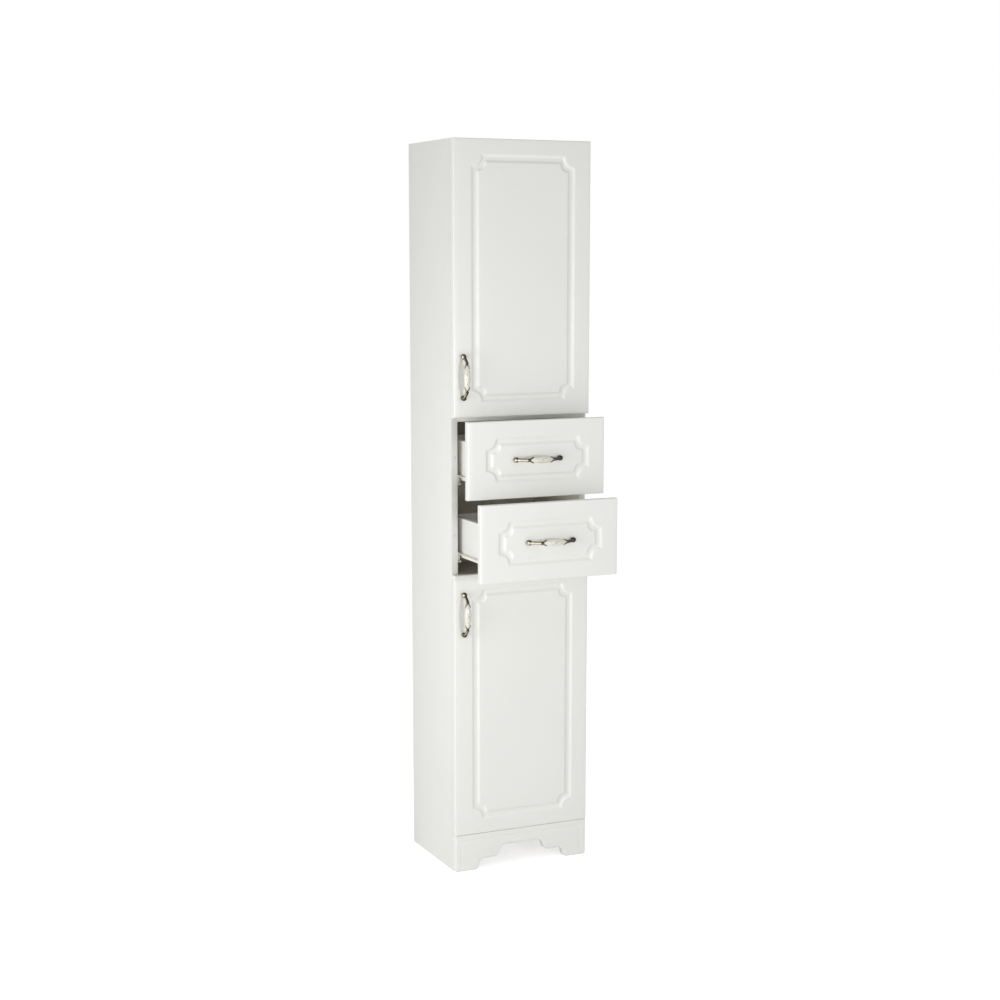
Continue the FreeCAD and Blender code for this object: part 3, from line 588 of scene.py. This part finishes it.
edge = plinth_edge()
top_z = plinth_high.z
rise = np.concatenate([np.linspace(0, 0.0045, 9), np.linspace(0.0065, edge_band, 8)])
from_top = np.concatenate([np.linspace(0.026, 0.0095, 16), np.linspace(0.0085, 0.0045, 3),
                           np.linspace(0.0040, 0, 8)])
room = top_z - edge[:, 1]
low_rows = edge[:, 1] + rise[:, None] * np.minimum(1, (room - top_band) / edge_band)
high_rows = np.broadcast_to(top_z - from_top[:, None], (len(from_top), len(edge)))
plinth_z = np.concatenate([low_rows, high_rows])
plinth_x = np.broadcast_to(edge[:, 0], plinth_z.shape)
outline = np.concatenate([[(-plinth_high.x, top_z)], edge, [(plinth_high.x, top_z)]])
edge_gap = np.min([segment_distance(plinth_x, plinth_z, *a, *b) for a, b in zip(outline, outline[1:])], axis=0)
line_x = plinth_high.x - plinth_line_inset
line_z = top_z - plinth_line_inset
line_gap = np.minimum(segment_distance(np.abs(plinth_x), plinth_z, line_x, -1, line_x, line_z),
                      segment_distance(np.abs(plinth_x), plinth_z, 0, line_z, line_x, line_z))
hollow = plinth_line_depth * (1 - np.clip(line_gap / plinth_line_half, 0, 1) ** 2) ** 2
rolled = np.maximum(edge_roll(edge_gap, plinth_edge_round), edge_roll(top_z - plinth_z, plinth_top_round))
plinth_y = plinth_low.y + rolled + hollow
plinth_face = np.stack([plinth_x, plinth_y, plinth_z], axis=-1)
show_piece(slab_mesh("plinth_film", plinth_face, plinth_high.y), film, "cabinet",
           ("front_plinth",), crease=40.0)

# ---- Drawer boxes --------------------------------------------------------------------------------------------
# Sides and back of melamine board screwed to the front, with a hardboard bottom in grooves.
for drawer in drawers:
    for part in ("_side_left", "_side_right", "_back"):
        show_board(drawer + part, drawer, melamine)

# ---- Runners -------------------------------------------------------------------------------------------------
# Folded sheet steel with a cream powder coat: a channel on each side board and a rail under each drawer side. A
# white nylon roller turns on a pin at the front of each channel and at the rear of each rail.
roller_radius = 0.0085
roller_end = 0.0105
roller_wall_gap = 0.0016
roller_tread = [(0.0000, 0.0030), (0.0000, 0.0062), (0.0002, 0.0080), (0.0006, 0.0085), (0.0030, 0.0085),
                (0.0034, 0.0080), (0.0036, 0.0062), (0.0030, 0.0058), (0.0030, 0.0034), (0.0036, 0.0030),
                (0.0036, 0.0012)]
pin_radius = 0.0019
channel_pin = 0.0068
rail_pin = 0.0085
powder_coat = painted_surface("cream_powder_coat", (0.80, 0.785, 0.72), 0.38, 0.01, 0.05, 0.00003, 0.0006)
nylon = painted_surface("white_nylon", (0.76, 0.76, 0.72), 0.45, 0.01, 0.02, 0.00004, 0.0009)
coat_nodes(powder_coat, "runner_channels", "upper_drawer_rails", "lower_drawer_rails")


def roller_shells(node, y):
    """A pair of rollers with rounded treads and a sunk web, each on its pin, across the CAD rollers' width."""
    low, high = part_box(node)
    outer_x = max(abs(low.x), abs(high.x))
    on_channel = node == "channel_rollers"
    wheel_x = outer_x - (roller_wall_gap if on_channel else 0)
    pin_x = outer_x - (channel_pin if on_channel else rail_pin)
    shells = []
    for z in sorted({round(low.z + roller_radius, 5), round(high.z - roller_radius, 5)}):
        for side in (-1, 1):
            shells.append(turned_shell(roller_tread, (side * wheel_x, y, z), (-side, 0, 0), 32))
            shells.append(round_bar((side * outer_x, y, z), (side * pin_x, y, z), pin_radius, 16))
    return shells


front_roller_y = carcass_front + roller_end
show_piece(mesh_of_shells("channel_wheels", roller_shells("channel_rollers", front_roller_y)), nylon, "cabinet",
           ("channel_rollers",))
for drawer in drawers:
    wheel_low, wheel_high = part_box(drawer + "_rollers")
    wheels = roller_shells(drawer + "_rollers", (wheel_low.y + wheel_high.y) / 2)
    show_piece(mesh_of_shells(drawer + "_wheels", wheels), nylon, drawer, (drawer + "_rollers",))

# ---- Small fittings ------------------------------------------------------------------------------------------
# Shelf supports and bumper pads are clear-white plastic. Brackets, nails and screws are zinc-plated steel.
pad_foot = 0.004
pad_from_end = 0.045
# Screws, each as head radius, head height, shank radius and shank length.
cup_screw = (0.0036, 0.0011, 0.0015, 0.006)
plate_screw = (0.0036, 0.0015, 0.0019, 0.010)
arm_screw = (0.0034, 0.0003, 0.0019, 0.004)
handle_screw = (0.0041, 0.0023, 0.0019, 0.019)
clear_plastic = painted_surface("clear_white_plastic", (0.74, 0.76, 0.74), 0.25, 0.01, 0.02, 0.00002, 0.0012)
coat_nodes(clear_plastic, "shelf_supports")


def plated_steel(name, colour, roughness):
    """Plated steel: an even metal whose roughness changes a little and which has fine rolling marks."""
    finish = painted_surface(name, colour, roughness, 0.05, 0.01, 0.00001, 0.0004, (1, 1, 6))
    finish.node_tree.nodes["Principled BSDF"].inputs["Metallic"].default_value = 1.0
    return finish


zinc = plated_steel("zinc_plate", (0.62, 0.63, 0.64), 0.35)
nickel = plated_steel("nickel_plate", (0.70, 0.69, 0.66), 0.22)
coat_nodes(zinc, "wall_brackets")
coat_nodes(nickel, "hinge_arms", "hinge_plates")
show_piece(mesh_of_shells("back_nails", nails), zinc, "cabinet")

pad_low, pad_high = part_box("bumper_pads")
pad_height = pad_high.y - pad_low.y
pad_profile = [(pad_height * share, radius) for share, radius in (
    (0.0, 0.0039), (0.3, 0.0039), (0.7, 0.0034), (0.95, 0.0024), (1.0, 0.0012))]
pad_places = []
for door in doors:
    door_low, door_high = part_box(door)
    pad_places += [(pad_low.x + pad_foot, z) for z in (door_low.z + pad_from_end, door_high.z - pad_from_end)]
for drawer in drawers:
    drawer_low, drawer_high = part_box(drawer + "_front")
    pad_places += [(x, (drawer_low.z + drawer_high.z) / 2) for x in (pad_low.x + pad_foot, pad_high.x - pad_foot)]
pads = [turned_shell(pad_profile, (x, pad_high.y, z), (0, -1, 0), 20) for x, z in pad_places]
show_piece(mesh_of_shells("clear_bumpers", pads), clear_plastic, "cabinet", ("bumper_pads",))


def cross_head(place, axis, radius, height, shank_radius, shank):
    """A pan-head screw whose head stands on place along the axis. With r the share of the head's radius, the head is
    height * (0.35 + 0.65 * sqrt(1 - r^4)) high, and 0.4 * height in a cross of half width 0.16 and reach 0.65."""
    axis = np.array(axis, float)
    first = np.cross(axis, (0.0, 0.0, 1.0) if abs(axis[2]) < 0.9 else (1.0, 0.0, 0.0))
    second = np.cross(axis, first)
    share = np.array([1.0, 1.0, 0.98, 0.93, 0.85, 0.74, 0.66, 0.64, 0.5, 0.35, 0.2, 0.1])
    turn = np.linspace(0, 2 * math.pi, 48, endpoint=False)
    r, t = np.meshgrid(share, turn, indexing="ij")
    x, z = r * np.cos(t), r * np.sin(t)
    dome = height * (0.35 + 0.65 * np.sqrt(1 - r ** 4))
    dome[0] = 0.0
    cross = (np.minimum(np.abs(x), np.abs(z)) < 0.16) & (r < 0.65)
    dome = np.where(cross, height * 0.4, dome)
    place = np.array(place, float)
    points = place + dome[..., None] * axis + radius * (first * x[..., None] + second * z[..., None])
    return [grid_shell(points), round_bar(place, place - axis * shank, shank_radius, 12)]


# ---- Concealed hinges ----------------------------------------------------------------------------------------
# Each door turns on two cup hinges of nickel-plated steel. The pressed cup lies in the door's bore under a flange
# with two screws. Links join it to the arm, which is screwed over a mounting plate on the side board.
flange_sheet = 0.0008
flange_ear = 0.0075
flange_ear_rim = 0.0003
flange_offset = 0.024
ear_from_cup = 0.0075
neck_half = 0.0062
neck_start = 0.0165
neck_arris = 0.0002
plate_screw_rise = 0.016
arm_screw_runs = (0.020, 0.034)
arm_screw_sink = 0.0004
cup_profile = [(-0.0112, 0.0020), (-0.0112, 0.0150), (-0.0104, 0.0166), (-0.0090, 0.0173), (-0.0004, 0.0173),
               (0.0000, 0.0181), (0.0007, 0.0181), (0.0008, 0.0176), (0.0003, 0.0166), (-0.0085, 0.0164),
               (-0.0098, 0.0158), (-0.0104, 0.0145), (-0.0105, 0.0020)]
ear_profile = [(0.0, flange_ear), (flange_sheet * 0.8, flange_ear), (flange_sheet, flange_ear - flange_ear_rim)]
door_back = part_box("upper_door")[1].y
ear_x = cup_x - ear_from_cup
for door in doors:
    shells = []
    for z in cup_levels[door]:
        shells.append(turned_shell(cup_profile, (cup_x, door_back, z), (0, 1, 0), 48))
        for end in (-1, 1):
            ear_z = z + end * flange_offset
            neck_low, neck_high = sorted((z + end * neck_start, ear_z))
            shells.append(turned_shell(ear_profile, (ear_x, door_back, ear_z), (0, 1, 0), 32))
            shells.append(board_shell((ear_x - neck_half, door_back, neck_low),
                                      (ear_x + neck_half, door_back + flange_sheet, neck_high), neck_arris))
            shells += cross_head((ear_x, door_back + flange_sheet, ear_z), (0, 1, 0), *cup_screw)
    show_piece(mesh_of_shells(door + "_cups", shells), nickel, door, (door + "_hinge_cups",),
               crease=30.0)
    coat_nodes(nickel, door + "_hinge_links")

hinge_levels = [z for door in doors for z in cup_levels[door]]
plate_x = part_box("hinge_plates")[0].x
screw_low, screw_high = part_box("hinge_plate_screws")
plate_y = (screw_low.y + screw_high.y) / 2
screws = []
for z in hinge_levels:
    for end in (-plate_screw_rise, plate_screw_rise):
        screws += cross_head((plate_x, plate_y, z + end), (-1, 0, 0), *plate_screw)
show_piece(mesh_of_shells("plate_screws", screws), zinc, "cabinet", ("hinge_plate_screws",))

arm_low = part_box("hinge_arms")[0]
arm_screws = []
for z in hinge_levels:
    for run in arm_screw_runs:
        arm_screws += cross_head((arm_low.x + arm_screw_sink, arm_low.y + run, z), (-1, 0, 0), *arm_screw)
show_piece(mesh_of_shells("arm_screws", arm_screws), zinc, "cabinet")

# ---- Bow handles ---------------------------------------------------------------------------------------------
# Each handle has two cast ends in dark antique brass, with a painted highlight of pale gold on the faces turned to
# the left,
# front and down: a ball foot on the front, a bowed arm, a collar and a two-pronged fork. The forks hold a barrel of
# cream glazed ceramic.
ball_radius = 0.0063
ball_height = 0.0070
foot_radius = 0.0044
grip_half = 0.0290
grip_middle_radius = 0.0076
grip_oval = 1.07
grip_stand_off = 0.026
fork_root = 0.0335
collar_set_back = 0.0014
prong_tip = 0.0205
prong_clearance = 0.0006
prong_half_out = 0.0021
prong_half_across = 0.0012
screw_head = 0.0042
stations = 15
# The way and threshold below set the painted highlight: brass faces turned to the left, front and down, where the
# lamps stand, are painted pale gold.
highlight_way = np.array((-0.79, -0.58, -0.20))
highlight_from = 0.45
# The painted sprigs, in millimetres of the barrel's length and of a third of its girth: centre, size, petals, depth.
glaze_length = 44.0
glaze_third = 14.6
rosette = ((22.0, 7.3), 3.4, 5, 0.30)
rosette_eye = ((22.0, 7.3), 1.1, 1, 0.0)
florets = (((11.5, 5.4), 2.0, 4, 0.35), ((32.5, 9.2), 2.0, 4, 0.35), ((16.2, 9.8), 2.3, 2, 0.55),
           ((27.8, 4.8), 2.3, 2, 0.55), ((7.6, 8.4), 1.5, 2, 0.5), ((36.4, 6.2), 1.5, 2, 0.5))


def grip_radius(along):
    """The barrel's radius at a distance from its middle: with s the share of the half length, middle radius *
    (1 - 0.58 s^2) * sqrt(1 - s^8), a swelling that closes in a round nose at each end."""
    share = np.clip(np.abs(along) / grip_half, 0, 1)
    return grip_middle_radius * (1 - 0.58 * share ** 2) * np.sqrt(1 - share ** 8)


def swept_shell(path, out, across, half_out, half_across, roundness=2.4, sides=24):
    """A bar along a path. At each station the section is centre + out * half_out * cos' t + across * half_across *
    sin' t, where cos' and sin' are raised to 2 / roundness with their sign: a rounded rectangle over 2."""
    turn = np.linspace(0, 2 * math.pi, sides, endpoint=False)
    c = np.sign(np.cos(turn)) * np.abs(np.cos(turn)) ** (2 / roundness)
    s = np.sign(np.sin(turn)) * np.abs(np.sin(turn)) ** (2 / roundness)
    return grid_shell(path[:, None] + out[:, None] * (half_out[:, None] * c)[..., None]
                      + across[:, None] * (half_across[:, None] * s)[..., None])


def directions(path):
    """The unit direction of a path at each of its points."""
    slope = np.gradient(path, axis=0)
    return slope / np.linalg.norm(slope, axis=1, keepdims=True)


def ball_foot(pitch):
    """The foot flange, a short cove and the ball, turned about Y at the handle's end."""
    angle = np.linspace(-0.93, math.pi / 2 - 0.12, 14)
    profile = [(0.0, foot_radius), (0.0007, foot_radius), (0.0012, foot_radius * 0.9), (0.0018, 0.0036)]
    profile += list(zip(ball_height + ball_radius * np.sin(angle), ball_radius * np.cos(angle)))
    return turned_shell(profile, (pitch / 2, 0, 0), (0, -1, 0), 28)


def bowed_arm(pitch):
    """The arm from the ball to the collar. With t from 0 to 1 its middle runs over run * t^1.3 inwards and rises
    over t^0.87, and its width narrows to a waist half way."""
    t = np.linspace(0, 1, stations)
    run = pitch / 2 - fork_root
    x = pitch / 2 - run * t ** 1.3
    y = -ball_height - (grip_stand_off - ball_height) * t ** 0.87
    path = np.stack([x, y, np.zeros(stations)], axis=-1)
    slope = directions(path)
    out = np.cross(slope, (0.0, 0.0, 1.0))
    width = 0.0033 + 0.0005 * (2 * t - 1) ** 2
    return swept_shell(path, out, np.cross(out, slope), 0.0029 - 0.0003 * np.sin(math.pi * t), width)


def fork_collar():
    """The bead at the fork's root and the short stub to the barrel's nose, turned about the grip's axis."""
    profile = [(0.0, 0.0016), (0.0003, 0.0028), (0.0010, 0.0036), (0.0021, 0.0039), (0.0032, 0.0035),
               (0.0040, 0.0026), (0.0050, 0.0020), (0.0062, 0.0016)]
    return turned_shell(profile, (fork_root + collar_set_back, -grip_stand_off, 0), (-1, 0, 0), 24)


def prong(side):
    """One prong: it leaves the collar, opens in a V and follows the barrel's side to a blunt point."""
    t = np.linspace(0, 1, stations)
    x = fork_root + (prong_tip - fork_root) * t
    barrel_side = np.where(t > 0.25, grip_oval * grip_radius(x) + prong_clearance, 0)
    reach = np.maximum(0.0014 + 0.0056 * t, barrel_side)
    path = np.stack([x, np.full(stations, -grip_stand_off), side * reach], axis=-1)
    out = np.tile((0.0, -1.0, 0.0), (stations, 1))
    taper = np.sqrt(np.clip((1.015 - t) / 0.28, 0, 1))
    return swept_shell(path, out, np.cross(out, directions(path)), prong_half_out * taper, prong_half_across * taper)


def laid_on_front(points, centre, upright):
    """Puts points of a handle (length along X, out along -Y) on a front, with its length along Z if upright."""
    if upright:
        points = points[:, [2, 1, 0]] * (1, 1, -1)
    return points + centre


def set_values(mesh, name, values):
    """Stores one number for each vertex of a mesh under a name."""
    mesh.attributes.new(name, "FLOAT", "POINT").data.foreach_set("value", np.asarray(values, np.float32))


def object_cloud(tree, scale, detail):
    """A cloud of noise fixed to the object."""
    place = tree.nodes.new("ShaderNodeTexCoord").outputs["Object"]
    return add_node(tree, "TexNoise", {"Vector": place, "Scale": scale, "Detail": detail}).outputs["Fac"]


def antique_brass(name):
    """Aged brass: near black where the piece's own painted highlight value is low, brown between, and a painted
    highlight of pale gold where it is high. A cloud of patina breaks the border."""
    finish, tree, shader = new_finish(name)
    painted_highlight = tree.nodes.new("ShaderNodeAttribute")
    painted_highlight.attribute_name = "painted_highlight"
    cloud = object_cloud(tree, 420.0, 4.0)
    highlight_and_patina = maths(tree, "ADD", painted_highlight.outputs["Fac"], maths(tree, "MULTIPLY_ADD", cloud, 0.5, -0.25))
    highlight_and_patina.node.use_clamp = True
    shades = add_node(tree, "ValToRGB", {"Fac": highlight_and_patina})
    dark_stop, highlight_stop = shades.color_ramp.elements
    dark_stop.position = 0.05
    dark_stop.color = (0.040, 0.036, 0.025, 1.0)
    highlight_stop.position = 0.85
    highlight_stop.color = (0.44, 0.39, 0.30, 1.0)
    shades.color_ramp.elements.new(0.40).color = (0.16, 0.135, 0.085, 1.0)
    rough = add_node(tree, "MapRange", {"Value": highlight_and_patina, "To Min": 0.42, "To Max": 0.36})
    filled(tree, shader, {"Metallic": 1.0, "Base Color": shades.outputs["Color"],
                          "Roughness": rough.outputs["Result"]})
    raise_relief(tree, shader, cloud, 0.00004)
    return finish


def petal_mark(tree, along, around, centre, size, petals, depth):
    """How much of a rosette covers each point, 0 to 1: with r and t the polar place about the centre, the edge lies
    at size * (1 - depth + depth * cos(petals * t)) and fades over a fifth of the size."""
    dx = maths(tree, "SUBTRACT", along, centre[0])
    dy = maths(tree, "SUBTRACT", around, centre[1])
    square = maths(tree, "ADD", maths(tree, "MULTIPLY", dx, dx), maths(tree, "MULTIPLY", dy, dy))
    turn = maths(tree, "MULTIPLY", maths(tree, "ARCTAN2", dy, dx), petals)
    wave = maths(tree, "MULTIPLY", maths(tree, "COSINE", turn), size * depth)
    inward = maths(tree, "SUBTRACT", maths(tree, "ADD", wave, size * (1 - depth)), maths(tree, "SQRT", square))
    fade = maths(tree, "DIVIDE", inward, size * 0.2)
    fade.node.use_clamp = True
    return fade


def sprigged_glaze(name):
    """Cream glaze over white ceramic with small painted sprigs: three rows round the barrel, each a rosette with a
    pale eye between florets and leaves, in grey green. It reads the barrel's own map: X along, Y around."""
    finish, tree, shader = new_finish(name)
    own = tree.nodes.new("ShaderNodeUVMap")
    own.uv_map = "barrel"
    split = add_node(tree, "SeparateXYZ", {"Vector": own.outputs["UV"]}).outputs
    along = maths(tree, "MULTIPLY", split["X"], glaze_length)
    third = maths(tree, "FRACT", maths(tree, "MULTIPLY", split["Y"], 3.0))
    around = maths(tree, "MULTIPLY", third, glaze_third)
    marks = maths(tree, "SUBTRACT", petal_mark(tree, along, around, *rosette),
                  petal_mark(tree, along, around, *rosette_eye))
    for floret in florets:
        marks = maths(tree, "MAXIMUM", marks, petal_mark(tree, along, around, *floret))
    cloud = object_cloud(tree, 260.0, 3.0)
    strength = maths(tree, "MULTIPLY", marks, maths(tree, "ADD", cloud, 0.25))
    cream = add_node(tree, "ValToRGB", {"Fac": cloud})
    cream.color_ramp.elements[0].color = (0.67, 0.65, 0.565, 1.0)
    cream.color_ramp.elements[1].color = (0.74, 0.72, 0.64, 1.0)
    painted = tinted(tree, cream.outputs["Color"], (0.26, 0.30, 0.24, 1.0), strength)
    filled(tree, shader, {"Base Color": painted, "Roughness": 0.16, "Coat Weight": 0.6, "Coat Roughness": 0.06,
                          "Subsurface Weight": 0.0})
    raise_relief(tree, shader, cloud, 0.00003)
    return finish


def glazed_barrel(name, centre, upright):
    """The grip: rows along the axis at half * sin a, so that they crowd at the noses, and columns round it. Its own
    map holds the share along the length and the share round the barrel."""
    x = grip_half * np.sin(np.linspace(-1.52, 1.52, 45))
    radius = grip_radius(x)
    columns = 40
    turn = 2 * math.pi * (np.arange(columns) / columns)
    points = np.stack([np.broadcast_to(x[:, None], (len(x), columns)),
                       -grip_stand_off + radius[:, None] * np.cos(turn),
                       grip_oval * radius[:, None] * np.sin(turn)], axis=-1)
    vertices, faces = grid_shell(points)
    mesh = mesh_of_shells(name, [(laid_on_front(vertices, centre, upright), faces)])
    row, column = np.meshgrid(np.arange(len(x) - 1), np.arange(columns), indexing="ij")
    u = (x / grip_half + 1) / 2
    corner_u = np.stack([u[row], u[row], u[row + 1], u[row + 1]], axis=-1)
    corner_v = np.stack([column, column + 1, column + 1, column], axis=-1) / columns
    quads = np.stack([corner_u, corner_v], axis=-1).reshape(-1, 2)
    fans = np.tile((0.0, 0.0), (6 * columns, 1))
    mesh.uv_layers.new(name="barrel").data.foreach_set("uv", np.concatenate([quads, fans]).ravel())
    return mesh


brass = antique_brass("antique_brass")
glaze = sprigged_glaze("cream_glaze")
for body in doors + drawers:
    upright = body in doors
    front = body if upright else body + "_front"
    ends_low, ends_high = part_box(body + "_handle_ends")
    screw_low, screw_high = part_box(body + "_handle_screws")
    centre = np.array([(ends_low.x + ends_high.x) / 2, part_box(front)[0].y, (ends_low.z + ends_high.z) / 2])
    span = screw_high - screw_low
    pitch = round(max(span.x, span.z) - 2 * screw_head, 3)
    shells = []
    highlight_share = []
    for way in (1, -1):
        # Each piece's share of the painted highlight: full on the left or top ball, a quarter on the other ball, less
        # on the collar.
        for (points, faces), share in ((ball_foot(pitch), 0.25 if way == 1 else 1.0), (bowed_arm(pitch), 0.9),
                                       (fork_collar(), 0.3), (prong(1), 0.9), (prong(-1), 0.9)):
            shells.append((laid_on_front(points * (way, 1, 1), centre, upright), faces))
            highlight_share.append(np.full(len(points), share))
    ends = mesh_of_shells(body + "_bow_ends", shells)
    normals = np.zeros(len(ends.vertices) * 3)
    ends.vertex_normals.foreach_get("vector", normals)
    # Painted highlight: how far each face turns towards the lamps' side, stored per vertex for the brass material.
    facing = np.clip((normals.reshape(-1, 3) @ highlight_way - highlight_from) / highlight_from, 0, 1)
    set_values(ends, "painted_highlight", np.concatenate(highlight_share) * facing)
    show_piece(ends, brass, body, (body + "_handle_ends",), crease=50.0)
    grip = glazed_barrel(body + "_barrel", centre, upright)
    show_piece(grip, glaze, body, (body + "_handle_grip",), crease=50.0)
    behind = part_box(front)[1].y
    heads = []
    for end in (-pitch / 2, pitch / 2):
        place = np.array([centre[0], behind, centre[2] + end] if upright else [centre[0] + end, behind, centre[2]])
        heads += cross_head(place, (0, 1, 0), *handle_screw)
    show_piece(mesh_of_shells(body + "_bow_screws", heads), zinc, body, (body + "_handle_screws",))
